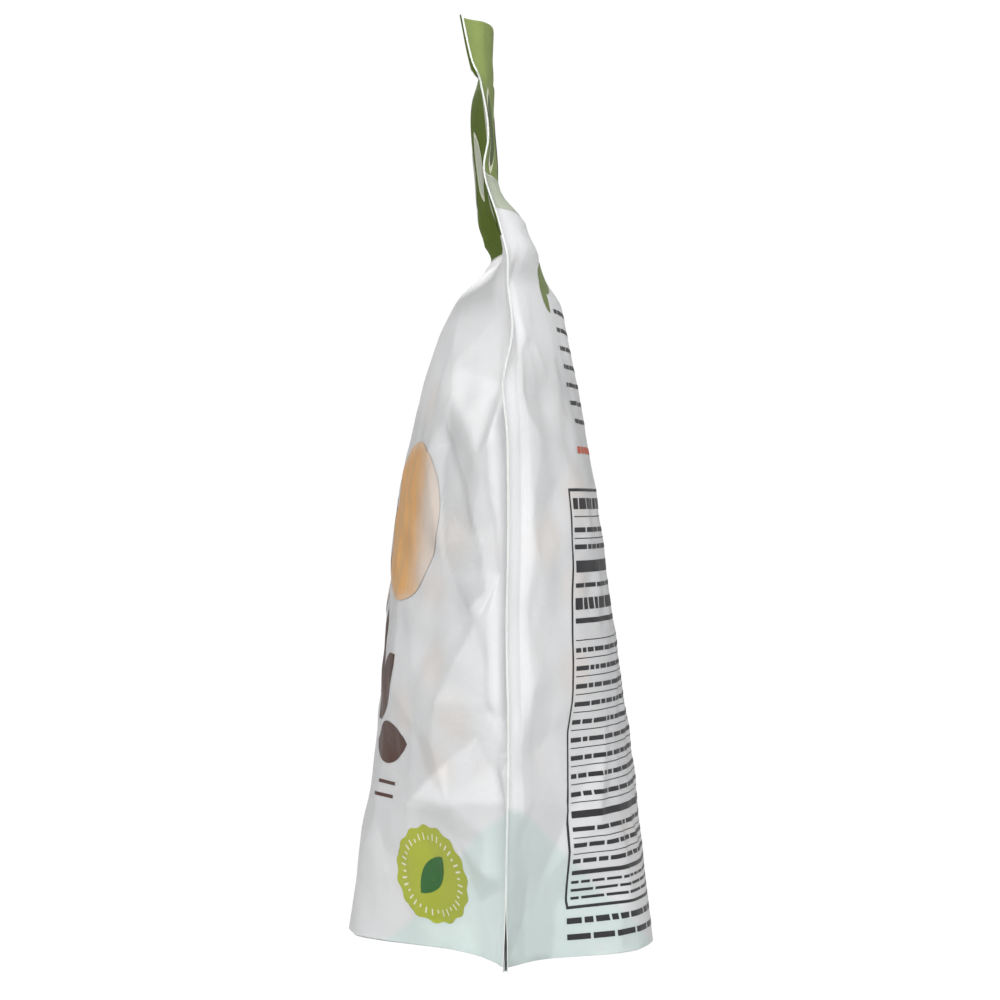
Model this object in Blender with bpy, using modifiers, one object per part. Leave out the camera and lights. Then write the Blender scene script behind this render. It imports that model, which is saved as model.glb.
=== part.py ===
"""Filled stand-up zip pouch of hazelnut kernels, made of two film panels, a bottom gusset and a press-to-close zip.

Metres, +Z up. The origin is on the floor under the middle of the pouch. +X points to one side seam, and the front
panel faces -Y. A film sheet is drawn from its flat cut: s runs across it from -FLAT_HALF to +FLAT_HALF, t up it.
"""

import math
import random
from bisect import bisect_right
from functools import lru_cache

import bmesh
import bpy
from mathutils import Matrix, Vector

# The pouch as it is cut: 190 x 254 mm with an 89 mm bottom gusset
FLAT_HALF = 0.095
HEIGHT = 0.250  # standing height: the seams' buckles take up the last 4 mm
GUSSET_LEAF = 0.0445
SEAL = 0.009
FILM = 0.0004  # drawn thicker than the real 0.13 mm laminate
SHARP = math.radians(40)  # edges steeper than this stay sharp

# The zip, in the panels' own height
ZIP_HEIGHT = 0.194
ZIP_WEB = 0.006  # half height of a strip's flat web
ZIP_BEND = 0.002  # where a web bends with its panel
ZIP_WEB_THICK = 0.0006
ZIP_RIB = 0.0008
ZIP_RIB_HALF = 0.0003
ZIP_RAIL_IN, ZIP_RAIL_OUT = 0.0012, 0.0019
ZIP_HALF_LENGTH = 0.082
ZIP_HALF_ROOM = 0.0024  # from the middle of the zip to a panel's middle surface
ZIP_GAP = 0.0009
HEADER_HALF_ROOM = 0.0006
ZIP_SWELL = 0.009  # half height of the bulge over the zip
ZIP_SWELL_EDGE = 1.5  # its upper and lower edges end this many half heights from the zip

# The tear notches in the side edges
NOTCH_HEIGHT = 0.233
NOTCH_DEPTH = 0.003
NOTCH_HALF = 0.0016
NOTCH_CUTTER = 0.05  # long enough to cross both layers

# The kernels, drawn larger than life so that few of them cover the fill
KERNEL_RADIUS = 0.0094
KERNEL_WIDTH, KERNEL_FLAT, KERNEL_TIP = 0.95, 0.92, 0.10
KERNEL_PITCH = 0.0194
KERNEL_RISE = 0.0201
KERNEL_TOP_PITCH = 0.0203
KERNEL_JITTER = 0.0012
KERNEL_SLACK = 0.0004
KERNEL_FROM_SEAL = 0.012
KERNEL_TOP_ROOM = 4.6  # in radii: how deep the pouch must be for a kernel on top
FILLED_ROWS = 16  # rows of the panels that kernels can touch
KERNEL_SIDES = 7
KERNEL_RINGS = 5
KERNEL_CLEAR = 0.0007
FILL_TOP = 0.152
CORE_INSET = 0.0068
CORE_FOOT = 0.007
CORE_OVER_FOLD = 0.009
CORE_LEAST_HALF = 0.003
CORE_LOW = 0.010  # below this height the core clears the fold as much as here
CORE_HEIGHTS = (CORE_FOOT, 0.016, 0.026, 0.037, 0.048, 0.065, 0.085, 0.105, 0.122, 0.136, FILL_TOP - 0.006)
CORE_SIDES = 22
CORE_ROUND = 0.6  # 1 is an ellipse, lower is boxier

# How far each panel stands from the seam plane at the middle of the pouch: (height, Y)
FRONT_DEPTH = ((0.0, -0.0445), (0.022, -0.0426), (0.045, -0.038), (0.090, -0.0335), (0.124, -0.0302),
               (0.147, -0.0254), (0.171, -0.0183), (0.182, -0.0128), (0.192, -0.0085))
BACK_DEPTH = ((0.0, 0.0415), (0.022, 0.0392), (0.045, 0.0366), (0.090, 0.0305), (0.124, 0.0254),
              (0.147, 0.0216), (0.171, 0.0172), (0.182, 0.0150), (0.190, 0.0128))
# The share of that depth across the bottom edge: (part of the way to the seal, share)
FRONT_FOOT = ((0.0, 1.0), (0.13, 0.95), (0.27, 0.79), (0.42, 0.57), (0.60, 0.31), (0.80, 0.11), (1.0, 0.0))
BACK_FOOT = ((0.0, 1.0), (0.24, 0.99), (0.43, 0.88), (0.58, 0.66), (0.73, 0.37), (0.86, 0.16), (1.0, 0.0))
FOOT_REACH = 0.075
SEAM_LEAN = ((0.0, 0.0), (0.060, 0.0005), (0.190, 0.0006))

# The header above the zip waves and leans: (height, Y) of its middle, its wave and the +X edge
HEADER_MIDDLE = ((0.168, 0.003), (0.178, 0.0036), (0.186, 0.0032), (0.1915, 0.0024), (0.1946, 0.0012),
                 (0.1994, -0.0010), (0.2043, -0.0036), (0.215, -0.0047), (0.225, -0.0057), (0.250, -0.0043))
HEADER_WAVE = ((0.168, 0.002), (0.184, 0.0032), (0.190, 0.0030), (0.1994, 0.0028), (0.2043, 0.0030),
               (0.215, 0.0036), (0.235, 0.003), (0.250, 0.0015))
HEADER_EDGE = ((0.186, 0.0006), (0.196, -0.0017), (0.210, -0.0055), (0.218, -0.0044), (0.233, -0.0060),
               (0.238, -0.0080), (0.250, -0.0106))
WAVE_ACROSS = ((-1.0, -0.3), (-0.55, 1.0), (0.05, -1.0), (0.62, 1.0), (1.0, 0.2))
EDGE_CURL = 0.032
HEADER_FULL = 0.195
LEAST_RUN = 0.2  # a step across the film covers at least this share of its length along X

COLUMNS = 24
PANEL_ROWS = (0.0003, 0.010, 0.022, 0.034, 0.047, 0.060, 0.075, 0.090, 0.105, 0.120, 0.134, 0.147, 0.159, 0.169,
              0.177, 0.183, 0.188, 0.192, 0.196, 0.200, 0.206, 0.213, 0.220, 0.227, 0.233, 0.239, 0.245, HEIGHT)
GUSSET_HALF = 0.076
GUSSET_INSET = 0.0018
GUSSET_FLAT = 0.016
GUSSET_RISE = 0.026
GUSSET_ACROSS = 14

FRONT, BACK = -1, 1
HEADER_START = {FRONT: 0.180, BACK: 0.179}


def smoothstep(value):
    """0 below 0, 1 above 1 and a smooth ramp between."""
    value = min(max(value, 0.0), 1.0)
    return value * value * (3.0 - 2.0 * value)


def along(knots, at):
    """The value at `at` on a smooth curve that passes through the knots without overshooting."""
    places = [k[0] for k in knots]
    values = [k[1] for k in knots]
    at = min(max(at, places[0]), places[-1])
    i = min(bisect_right(places, at) - 1, len(places) - 2)
    steps = [(values[k + 1] - values[k]) / (places[k + 1] - places[k]) for k in range(len(places) - 1)]

    def slope(k):
        if k in (0, len(steps)):
            return steps[min(k, len(steps) - 1)]
        before, after = steps[k - 1], steps[k]
        return 0.0 if before * after <= 0 else 2 * before * after / (before + after)

    width = places[i + 1] - places[i]
    u = (at - places[i]) / width
    start, end = values[i], values[i + 1]
    cubic = (1 + 2 * u) * (1 - u) ** 2 * start + u * u * (3 - 2 * u) * end
    return cubic + width * (u * (1 - u) ** 2 * slope(i) - u * u * (1 - u) * slope(i + 1))


def header_y(s, t):
    """The middle surface of the flat header above the zip."""
    middle, wave = along(HEADER_MIDDLE, t), along(HEADER_WAVE, t)
    edge = along(HEADER_EDGE, t) - middle - wave * WAVE_ACROSS[-1][1]
    curl = smoothstep((s - FLAT_HALF + EDGE_CURL) / EDGE_CURL) ** 2
    return middle + wave * along(WAVE_ACROSS, s / FLAT_HALF) + edge * curl


def belly_y(side, s, t):
    """A panel's middle surface below the zip, where the fill pushes it out between its side seals."""
    part = min(abs(s) / (FLAT_HALF - SEAL), 1.0)
    foot = along(FRONT_FOOT if side == FRONT else BACK_FOOT, part)
    low = 1.0 - smoothstep(t / FOOT_REACH)
    share = low * foot + (1.0 - low) * (1.0 - part * part)
    seam = along(SEAM_LEAN, t)
    depth = along(FRONT_DEPTH if side == FRONT else BACK_DEPTH, t)
    return seam + side * HEADER_HALF_ROOM + (depth - seam) * share


def panel_y(side, s, t):
    """A panel's middle surface: the belly below, the header above, and the room that the zip needs."""
    up = smoothstep((t - HEADER_START[side]) / (HEADER_FULL - HEADER_START[side]))
    inner = smoothstep((FLAT_HALF - abs(s)) / SEAL)
    bulge = smoothstep(ZIP_SWELL_EDGE - abs(t - ZIP_HEIGHT) / ZIP_SWELL)
    swell = (ZIP_HALF_ROOM - HEADER_HALF_ROOM) * bulge * inner
    room = HEADER_HALF_ROOM + swell
    return (1.0 - up) * (belly_y(side, s, t) + side * swell) + up * (header_y(s, t) + side * room)


@lru_cache(maxsize=None)
def walk_across(side, t, fine=5):
    """Flat places across a panel at height t and the X of each, so that the film isn't stretched sideways."""
    count = COLUMNS * fine
    flat = [FLAT_HALF * (2 * i / count - 1) for i in range(count + 1)]
    depth = [panel_y(side, s, t) for s in flat]
    x = [0.0]
    for i in range(count):
        run, rise = flat[i + 1] - flat[i], depth[i + 1] - depth[i]
        x.append(x[-1] + math.sqrt(max(run * run - rise * rise, (LEAST_RUN * run) ** 2)))
    middle = x[count // 2]
    return flat, [value - middle for value in x]


@lru_cache(maxsize=None)
def seam_x(t):
    """How far the two side seams stand from the middle at height t: (-X side, +X side), shared by both panels."""
    front, back = walk_across(FRONT, t)[1], walk_across(BACK, t)[1]
    return (front[0] + back[0]) / 2, (front[-1] + back[-1]) / 2


def panel_row(side, t, places):
    """Points of a panel at height t, one for each flat place across it."""
    flat, x = walk_across(side, t)
    left, right = seam_x(t)
    points = []
    for s in places:
        at = (s / FLAT_HALF + 1) / 2 * (len(flat) - 1)
        i = min(int(at), len(flat) - 2)
        own = x[i] + (x[i + 1] - x[i]) * (at - i)
        own *= left / x[0] if own < 0 else right / x[-1]
        points.append(Vector((own, panel_y(side, s, t), t)))
    return points


def new_object(name, bm, collection, material=None):
    """Puts a bmesh into a new, smoothly shaded object."""
    mesh = bpy.data.meshes.new(name)
    bm.to_mesh(mesh)
    bm.free()
    ob = bpy.data.objects.new(name, mesh)
    collection.objects.link(ob)
    if material:
        mesh.materials.append(material)
        mesh.shade_smooth()
        mesh.set_sharp_from_angle(angle=SHARP)
    return ob


def loft(rows, closed=False, capped=False):
    """A bmesh that joins rows of points, each of the same number, with quads."""
    bm = bmesh.new()
    verts = [[bm.verts.new(p) for p in row] for row in rows]
    count = len(rows[0])
    for low, high in zip(verts, verts[1:]):
        for i in range(count if closed else count - 1):
            j = (i + 1) % count
            bm.faces.new((low[i], low[j], high[j], high[i]))
    if capped:
        bm.faces.new(list(reversed(verts[0])))
        bm.faces.new(verts[-1])
    if closed:
        bmesh.ops.recalc_face_normals(bm, faces=bm.faces)
    return bm


def thicken(ob, thickness):
    """Gives an open sheet its thickness, half on each side."""
    solid = ob.modifiers.new("film", "SOLIDIFY")
    solid.thickness = thickness
    solid.offset = 0.0


def cut(ob, cutters):
    """Takes each cutter out of an object."""
    for cutter in cutters:
        boolean = ob.modifiers.new(cutter.name, "BOOLEAN")
        boolean.operation = "DIFFERENCE"
        boolean.object = cutter


def material(name, colour, roughness, coat=0.0):
    """A plain Principled material."""
    mat = bpy.data.materials.new(name)
    mat.use_nodes = True
    shader = mat.node_tree.nodes["Principled BSDF"]
    shader.inputs["Base Color"].default_value = (*colour, 1.0)
    shader.inputs["Roughness"].default_value = roughness
    shader.inputs["Metallic"].default_value = 0.0
    shader.inputs["Coat Weight"].default_value = coat
    return mat


def notch_cutter(side, collection):
    """A three-sided prism, its point inwards, across both layers of one side seal."""
    bm = bmesh.new()
    bmesh.ops.create_cone(bm, cap_ends=True, segments=3, radius1=NOTCH_DEPTH, radius2=NOTCH_DEPTH, depth=NOTCH_CUTTER)
    bmesh.ops.scale(bm, vec=(1.0, NOTCH_HALF / NOTCH_DEPTH, 1.0), verts=bm.verts)
    turned = Matrix.Rotation(math.radians(90), 4, "X")
    point_in = Matrix.Rotation(math.pi if side > 0 else 0.0, 4, "Z")
    bmesh.ops.transform(bm, matrix=turned @ point_in, verts=bm.verts)
    edge = panel_row(FRONT, NOTCH_HEIGHT, (side * FLAT_HALF,))[0]
    ob = new_object(f"notch_cutter_{'right' if side > 0 else 'left'}", bm, collection)
    ob.location = (edge.x, edge.y, NOTCH_HEIGHT)
    ob.hide_render = True
    ob.display_type = "WIRE"
    return ob


def panel_places():
    """The flat places of a panel's columns."""
    return [FLAT_HALF * (2 * i / COLUMNS - 1) for i in range(COLUMNS + 1)]


def make_panel(name, side, notches, collection, mat):
    """One printed film panel, from the bottom edge to the top one."""
    rows = [panel_row(side, t, panel_places()) for t in PANEL_ROWS]
    if side == BACK:
        rows = [list(reversed(row)) for row in rows]
    ob = new_object(name, loft(rows), collection, mat)
    thicken(ob, FILM)
    cut(ob, notches)
    return ob


def gusset_half(s):
    """The gusset's section at flat place s: its two edges along Y, its fold's Y and its fold's height."""
    foot = PANEL_ROWS[0]
    low = panel_y(FRONT, s, foot) + GUSSET_INSET
    high = panel_y(BACK, s, foot) - GUSSET_INSET
    half = min((high - low) / 2, GUSSET_LEAF)
    rise = math.sqrt(GUSSET_LEAF ** 2 - half ** 2) * smoothstep((abs(s) - GUSSET_FLAT) / GUSSET_RISE)
    return low, high, (low + high) / 2, rise


def gusset_point(s, v):
    """A point of the gusset's middle surface, v from -1 at the front edge to 1 at the back edge."""
    low, high, fold, rise = gusset_half(s)
    front, back = (panel_row(side, PANEL_ROWS[0], (s,))[0].x for side in (FRONT, BACK))
    x = front + (back - front) * (v + 1) / 2
    y = fold + (fold - low if v < 0 else high - fold) * v
    return Vector((x, y, FILM / 2 + rise * (1.0 - abs(v) ** 1.5)))


def gusset_grid():
    """Rows of points over the whole gusset, one row for each column of the panels."""
    across = [2 * j / GUSSET_ACROSS - 1 for j in range(GUSSET_ACROSS + 1)]
    return [[gusset_point(s, v) for v in across] for s in panel_places() if abs(s) < GUSSET_HALF]


def make_gusset(collection, mat):
    """The folded sheet under the pouch: flat in the middle, raised to its fold at both side seams."""
    ob = new_object("bottom_gusset", loft(gusset_grid()), collection, mat)
    thicken(ob, FILM)
    return ob


def zip_section(side):
    """A zip strip's outline as (up, out) points: a web, with a rib on the front strip and two rails on the back."""
    web = ZIP_HALF_ROOM - FILM / 2 - ZIP_GAP
    inner = web - ZIP_WEB_THICK
    if side == FRONT:
        bumps = ((-ZIP_RIB_HALF, ZIP_RIB_HALF),)
    else:
        bumps = ((-ZIP_RAIL_OUT, -ZIP_RAIL_IN), (ZIP_RAIL_IN, ZIP_RAIL_OUT))
    line = [(-ZIP_WEB, inner), (-ZIP_BEND, inner)]
    for low, high in bumps:
        line += [(low, inner), (low, inner - ZIP_RIB), (high, inner - ZIP_RIB), (high, inner)]
    line += [(ZIP_BEND, inner), (ZIP_WEB, inner)]
    return line + [(up, web) for up in (ZIP_WEB, ZIP_BEND, -ZIP_BEND, -ZIP_WEB)]


def on_rows(side, s, t):
    """The point at height t on the straight line between the panel's rows below and above it."""
    above = min(bisect_right(PANEL_ROWS, t), len(PANEL_ROWS) - 1)
    low, high = PANEL_ROWS[above - 1], PANEL_ROWS[above]
    return panel_row(side, low, (s,))[0].lerp(panel_row(side, high, (s,))[0], (t - low) / (high - low))


def make_zip(name, side, collection, mat):
    """One half of the press-to-close zip, which follows the header's wave inside its panel."""
    rows = []
    for s in (p for p in panel_places() if abs(p) < ZIP_HALF_LENGTH):
        row = []
        for up, out in zip_section(side):
            here = on_rows(side, s, ZIP_HEIGHT + up)
            row.append(here - Vector((0.0, side * (ZIP_HALF_ROOM - out), 0.0)))
        rows.append(row)
    return new_object(name, loft(rows, closed=True, capped=True), collection, mat)


def surface_frame(side, s, t, step=0.002):
    """A panel's point at a flat place and its normal into the pouch."""
    here = panel_row(side, t, (s,))[0]
    across = panel_row(side, t, (s + step,))[0] - here
    up = panel_row(side, t + step, (s,))[0] - here
    normal = across.cross(up).normalized()
    return here, normal if normal.y * side < 0 else -normal


def filled_in(rows, parts=4):
    """The points of a grid with more points in between, along its rows and across them."""
    points = []
    for low, high in zip(rows, rows[1:]):
        for i in range(len(low) - 1):
            for a in range(parts):
                start, end = low[i].lerp(high[i], a / parts), low[i + 1].lerp(high[i + 1], a / parts)
                points += [start.lerp(end, b / parts) for b in range(parts)]
    return points


def kernel_places(rng):
    """Centres of the kernels that lie against the two panels, and of those on top of the fill."""
    clear = KERNEL_RADIUS + FILM / 2 + KERNEL_CLEAR
    walls = filled_in(gusset_grid())
    for side in (FRONT, BACK):
        walls += filled_in([panel_row(side, t, panel_places()) for t in PANEL_ROWS[:FILLED_ROWS]], parts=2)
    rows = int((FILL_TOP - 2 * KERNEL_RADIUS) / KERNEL_RISE)
    reach = FLAT_HALF - SEAL - KERNEL_FROM_SEAL
    places = []
    for k in range(rows + 1):
        t = KERNEL_RADIUS + KERNEL_CLEAR + k * KERNEL_RISE
        for side in (FRONT, BACK):
            shift = 0.5 * ((k + (side > 0)) % 2)
            for i in range(-5, 6):
                s = (i + shift) * KERNEL_PITCH + rng.uniform(-KERNEL_JITTER, KERNEL_JITTER)
                if abs(s) > reach:
                    continue
                here, inward = surface_frame(side, s, t + rng.uniform(-KERNEL_JITTER, KERNEL_JITTER))
                centre = here + inward * clear
                if centre.z < KERNEL_RADIUS + FILM + KERNEL_CLEAR:
                    continue
                if min((centre - w).length for w in walls) > clear - KERNEL_SLACK:
                    places.append(centre)
    return places


def top_places(rng):
    """Centres of the kernels on top of the fill, clear of both panels."""
    places = []
    for i in range(-3, 4):
        s = i * KERNEL_TOP_PITCH
        room = panel_y(BACK, s, FILL_TOP) - panel_y(FRONT, s, FILL_TOP)
        if room < KERNEL_TOP_ROOM * KERNEL_RADIUS:
            continue
        x = panel_row(FRONT, FILL_TOP, (s,))[0].x
        y = (panel_y(BACK, s, FILL_TOP) + panel_y(FRONT, s, FILL_TOP)) / 2
        places.append(Vector((x, y, FILL_TOP - 0.5 * KERNEL_RADIUS + rng.uniform(0, 0.002))))
    return places


def core_row(t, half):
    """A closed section of the fill's core, inset from both panels."""
    row = []
    for j in range(CORE_SIDES):
        turn = 2 * math.pi * j / CORE_SIDES
        s = half * math.cos(turn)
        front, back = (panel_row(side, t, (s,))[0] for side in (FRONT, BACK))
        middle, room = (front.y + back.y) / 2, (back.y - front.y) / 2 - CORE_INSET
        y = middle + room * math.copysign(abs(math.sin(turn)) ** CORE_ROUND, math.sin(turn))
        row.append(Vector(((front.x + back.x) / 2, y, t)))
    return row


def core_half(t):
    """How far the core reaches across at height t: over the gusset's fold, and where the pouch is deep enough."""
    half = FLAT_HALF
    while half > 0.01:
        half -= 0.001
        room = (panel_y(BACK, half, t) - panel_y(FRONT, half, t)) / 2
        if room > CORE_INSET + CORE_LEAST_HALF and gusset_half(half)[3] + CORE_OVER_FOLD < max(t, CORE_LOW):
            break
    return half


def fill_core():
    """The solid middle of the fill, which the kernels stand out of."""
    return loft([core_row(t, core_half(t)) for t in CORE_HEIGHTS], closed=True, capped=True)


def kernel(centre, rng):
    """One kernel: a ball drawn out a little to its tip, turned its own way."""
    bm = bmesh.new()
    bmesh.ops.create_uvsphere(bm, u_segments=KERNEL_SIDES, v_segments=KERNEL_RINGS, radius=KERNEL_RADIUS)
    for v in bm.verts:
        v.co.z *= KERNEL_FLAT + KERNEL_TIP * smoothstep(v.co.z / KERNEL_RADIUS)
        v.co.x *= KERNEL_WIDTH
    turn = Matrix.Rotation(rng.uniform(0, 2 * math.pi), 4, "Z") @ Matrix.Rotation(rng.uniform(0, math.pi), 4, "X")
    bmesh.ops.transform(bm, matrix=Matrix.Translation(centre) @ turn, verts=bm.verts)
    return bm


def make_hazelnuts(collection, mat):
    """All kernels in one body: each a ball against the film, joined to the core of the fill."""
    rng = random.Random(7)
    fill = new_object("hazelnuts", fill_core(), collection, mat)
    scraps = bpy.data.collections.new("kernels")
    bpy.context.scene.collection.children.link(scraps)
    for i, centre in enumerate(kernel_places(rng) + top_places(rng)):
        new_object(f"kernel_{i}", kernel(centre, rng), scraps)
    union = fill.modifiers.new("kernels", "BOOLEAN")
    union.operation = "UNION"
    union.operand_type = "COLLECTION"
    union.collection = scraps
    bpy.context.view_layer.update()
    fused = bpy.data.meshes.new_from_object(fill.evaluated_get(bpy.context.evaluated_depsgraph_get()))
    fill.modifiers.clear()
    fill.data = fused
    fused.shade_smooth()
    fused.set_sharp_from_angle(angle=SHARP)
    for ob in list(scraps.objects):
        bpy.data.objects.remove(ob, do_unlink=True)
    bpy.data.collections.remove(scraps)
    return fill


def main():
    for ob in list(bpy.data.objects):
        bpy.data.objects.remove(ob, do_unlink=True)
    pouch = bpy.data.collections.new("stand_up_pouch")
    cutters = bpy.data.collections.new("cutters")
    for collection in (pouch, cutters):
        bpy.context.scene.collection.children.link(collection)
    white_film = material("white_film", (0.84, 0.85, 0.86), 0.42, coat=0.2)
    clear_zip = material("zip_plastic", (0.82, 0.84, 0.84), 0.30)
    kernel_skin = material("kernel_skin", (0.47, 0.26, 0.13), 0.6)
    notches = [notch_cutter(side, cutters) for side in (-1, 1)]
    make_panel("front_panel", FRONT, notches, pouch, white_film)
    make_panel("back_panel", BACK, notches, pouch, white_film.copy())
    make_gusset(pouch, white_film.copy())
    make_zip("zip_rib_strip", FRONT, pouch, clear_zip)
    make_zip("zip_groove_strip", BACK, pouch, clear_zip.copy())
    make_hazelnuts(pouch, kernel_skin)


main()
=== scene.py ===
"""Filled stand-up zip pouch of hazelnut kernels: wrinkled printed film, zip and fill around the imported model.

Metres, +Z up. The front panel faces -Y and the near side seam +X. A film sheet is drawn from its flat cut:
s runs across it from -FLAT_HALF to +FLAT_HALF and t up it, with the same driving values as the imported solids.
"""

import math

import bmesh
import bpy
import numpy as np
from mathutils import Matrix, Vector
from mathutils.geometry import delaunay_2d_cdt


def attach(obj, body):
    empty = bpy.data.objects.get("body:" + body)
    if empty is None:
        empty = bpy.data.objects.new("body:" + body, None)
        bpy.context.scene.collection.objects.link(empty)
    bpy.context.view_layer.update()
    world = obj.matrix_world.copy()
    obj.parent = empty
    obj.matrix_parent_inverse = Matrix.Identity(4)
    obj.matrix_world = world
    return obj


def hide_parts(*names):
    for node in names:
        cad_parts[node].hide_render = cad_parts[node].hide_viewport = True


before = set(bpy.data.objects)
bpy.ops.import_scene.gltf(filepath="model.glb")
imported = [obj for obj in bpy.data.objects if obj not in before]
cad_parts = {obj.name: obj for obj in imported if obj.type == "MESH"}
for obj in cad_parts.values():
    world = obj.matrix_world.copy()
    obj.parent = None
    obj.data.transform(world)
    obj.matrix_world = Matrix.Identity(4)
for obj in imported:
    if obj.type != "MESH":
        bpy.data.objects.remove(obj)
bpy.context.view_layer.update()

# The camera stands level in front of the +X seam
CAMERA_PLACE = (0.826, -0.0014, 0.1243)
CAMERA_LENS, CAMERA_SENSOR = 102.74, 36.0

# The pouch, as the solids have it
FLAT_HALF = 0.095
HEIGHT = 0.250
GUSSET_LEAF = 0.0445
SEAL = 0.009
ZIP_HEIGHT = 0.194
ZIP_HALF_ROOM = 0.0024
HEADER_HALF_ROOM = 0.0006
ZIP_SWELL = 0.009
NOTCH_HEIGHT = 0.233
NOTCH_DEPTH = 0.003
NOTCH_HALF = 0.0018
NOTCH_REACH = 0.011  # the grid makes room for a notch over this much film
FILL_TOP = 0.152

# How far each panel stands from the seam plane at the middle of the pouch: (height, Y)
FRONT_DEPTH = ((0.0, -0.0445), (0.022, -0.0426), (0.045, -0.038), (0.090, -0.0335), (0.124, -0.0302),
               (0.147, -0.0254), (0.171, -0.0183), (0.182, -0.0128), (0.192, -0.0085))
BACK_DEPTH = ((0.0, 0.0415), (0.022, 0.0392), (0.045, 0.0366), (0.090, 0.0305), (0.124, 0.0254),
              (0.147, 0.0216), (0.171, 0.0172), (0.182, 0.0150), (0.190, 0.0128))
# The share of that depth across the bottom edge: (part of the way to the seal, share)
FRONT_FOOT = ((0.0, 1.0), (0.13, 0.95), (0.27, 0.79), (0.42, 0.57), (0.60, 0.31), (0.80, 0.11), (1.0, 0.0))
BACK_FOOT = ((0.0, 1.0), (0.24, 0.99), (0.43, 0.88), (0.58, 0.66), (0.73, 0.37), (0.86, 0.16), (1.0, 0.0))
FOOT_REACH = 0.075
# How boxy the belly is higher up: (height, exponent)
FRONT_ROUND = ((0.0, 2.0), (0.190, 2.0))
BACK_ROUND = ((0.030, 1.7), (0.055, 1.95), (0.090, 2.6), (0.127, 3.2), (0.155, 2.8), (0.190, 2.0))
SEAM_LEAN = ((0.0, 0.0), (0.060, 0.0005), (0.190, 0.0006))

# The header above the zip waves and leans: (height, Y) of its middle, its wave and the +X edge
HEADER_MIDDLE = ((0.168, 0.003), (0.178, 0.0036), (0.186, 0.0032), (0.1915, 0.0024), (0.1946, 0.0012),
                 (0.1994, -0.0010), (0.2043, -0.0038), (0.210, -0.0050), (0.215, -0.0053), (0.225, -0.0062),
                 (0.233, -0.0066), (0.250, -0.0048))
HEADER_WAVE = ((0.168, 0.002), (0.184, 0.0032), (0.190, 0.0030), (0.1994, 0.0028), (0.2043, 0.0027),
               (0.210, 0.0024), (0.235, 0.0026), (0.250, 0.0015))
HEADER_EDGE = ((0.186, 0.0006), (0.196, -0.0017), (0.210, -0.0055), (0.218, -0.0044), (0.233, -0.0066),
               (0.238, -0.0086), (0.250, -0.0112))
WAVE_ACROSS = ((-1.0, -0.3), (-0.55, 1.0), (0.05, -1.0), (0.62, 1.0), (1.0, 0.2))
EDGE_CURL = 0.032
HEADER_FULL = 0.195
FRONT, BACK = -1, 1
HEADER_START = {FRONT: 0.180, BACK: 0.179}

GUSSET_INSET = 0.00024
GUSSET_FLAT = 0.016
GUSSET_RISE = 0.026
GUSSET_SHORT, GUSSET_ROWS, GUSSET_ARCH = 0.002, 49, 1.5

# The side seals' fins lean: the root of the near one stands this far towards the back
FIN_LEAN = 0.0030
FIN_ROOT = 0.016  # the lean fades out this far in from the seal
FIN_TOP, FIN_BOTTOM, FIN_FADE = 0.180, -0.004, 0.03  # and up to here, from here, this gradually

# The near seal's edge wanders: (height, how far towards the back)
SEAM_WAVE = ((0.030, 0.0), (0.060, 0.0003), (0.090, -0.0002), (0.120, 0.0002), (0.140, 0.0),
             (0.1535, -0.0012), (0.1687, 0.0012), (0.180, 0.0))
SEAM_WAVE_REACH = 0.014

# Above its tear notch the near edge is bent over a little, and the near top corner sags.
# A ramp is given as (where it starts, how wide it is), here and below.
HOOK, HOOK_REACH, HOOK_RISE = 0.0013, 0.014, 0.003
SAG, SAG_RAMP = 0.0009, (0.03, 0.065)

# The seals: the two films almost touch there, and part a little at the foot of the near one
SEAL_HALF_ROOM = 0.00012
OPENED_RAMP = (0.8 * SEAL, 0.6 * SEAL)
TOP_SEAL_RAMP = (0.238, 0.005)
SEAL_MARGIN = 0.0002
SPLIT_TOP, SPLIT_ROOM = 0.020, 0.0005

# The film as it is meshed and settled
FILM = 0.00020
CELL = 0.00125
ACROSS_POINTS = 601  # for measuring how far the film reaches sideways
LEAST_RUN = 0.04  # the least share of a step that runs sideways, squared
FOOT = 0.0003
SEED = 11
START_NOISE = 0.00015
PUCKER_START, PUCKER = 0.056, 0.016  # the side seals' puckers: where they begin, and the film they take up
COARSE_ROUNDS, FINE_ROUNDS = 260, 60
COARSE_BEND, FINE_BEND = 0.04, 0.015  # how stiff the film is in each

# The share by which each round draws the film back to its form, and where
HOLD_ALL, HOLD_EDGE, HOLD_ZIP, HOLD_FOOT, HOLD_TOP, HOLD_CORNER = 0.05, 0.05, 0.08, 0.35, 0.05, 0.25
HOLD_EDGE_REACH, HOLD_FOOT_REACH = 0.007, 0.006
HOLD_ZIP_REACH, HOLD_ZIP_FADE = 1.6, 0.009
HOLD_TOP_RAMP, HOLD_CORNER_RAMP = (0.205, 0.02), (0.066, 0.012)
PLAIN, INKED, INSIDE, CUT_EDGE = range(4)

# Loose creases: spacing and height, the rows and columns they stray from, and how near they may come
CREASE_PITCH, CREASE_HEIGHT = 0.018, 0.0009
CREASE_ROWS, CREASE_COLUMNS = (0.010, 0.182), (-0.084, 0.085)
CREASE_SQUEEZE, CREASE_STRAY, CREASE_CLEAR, CREASE_FOOT = 0.9, 0.45, 0.55, 0.006
# Level points round the edges and under the zip: their steps up and across
EDGE_STEP, EDGE_COLUMNS, EDGE_PAST, CREASE_TOP = 0.012, (-0.088, 0.089, 0.011), 0.001, 0.186
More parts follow.
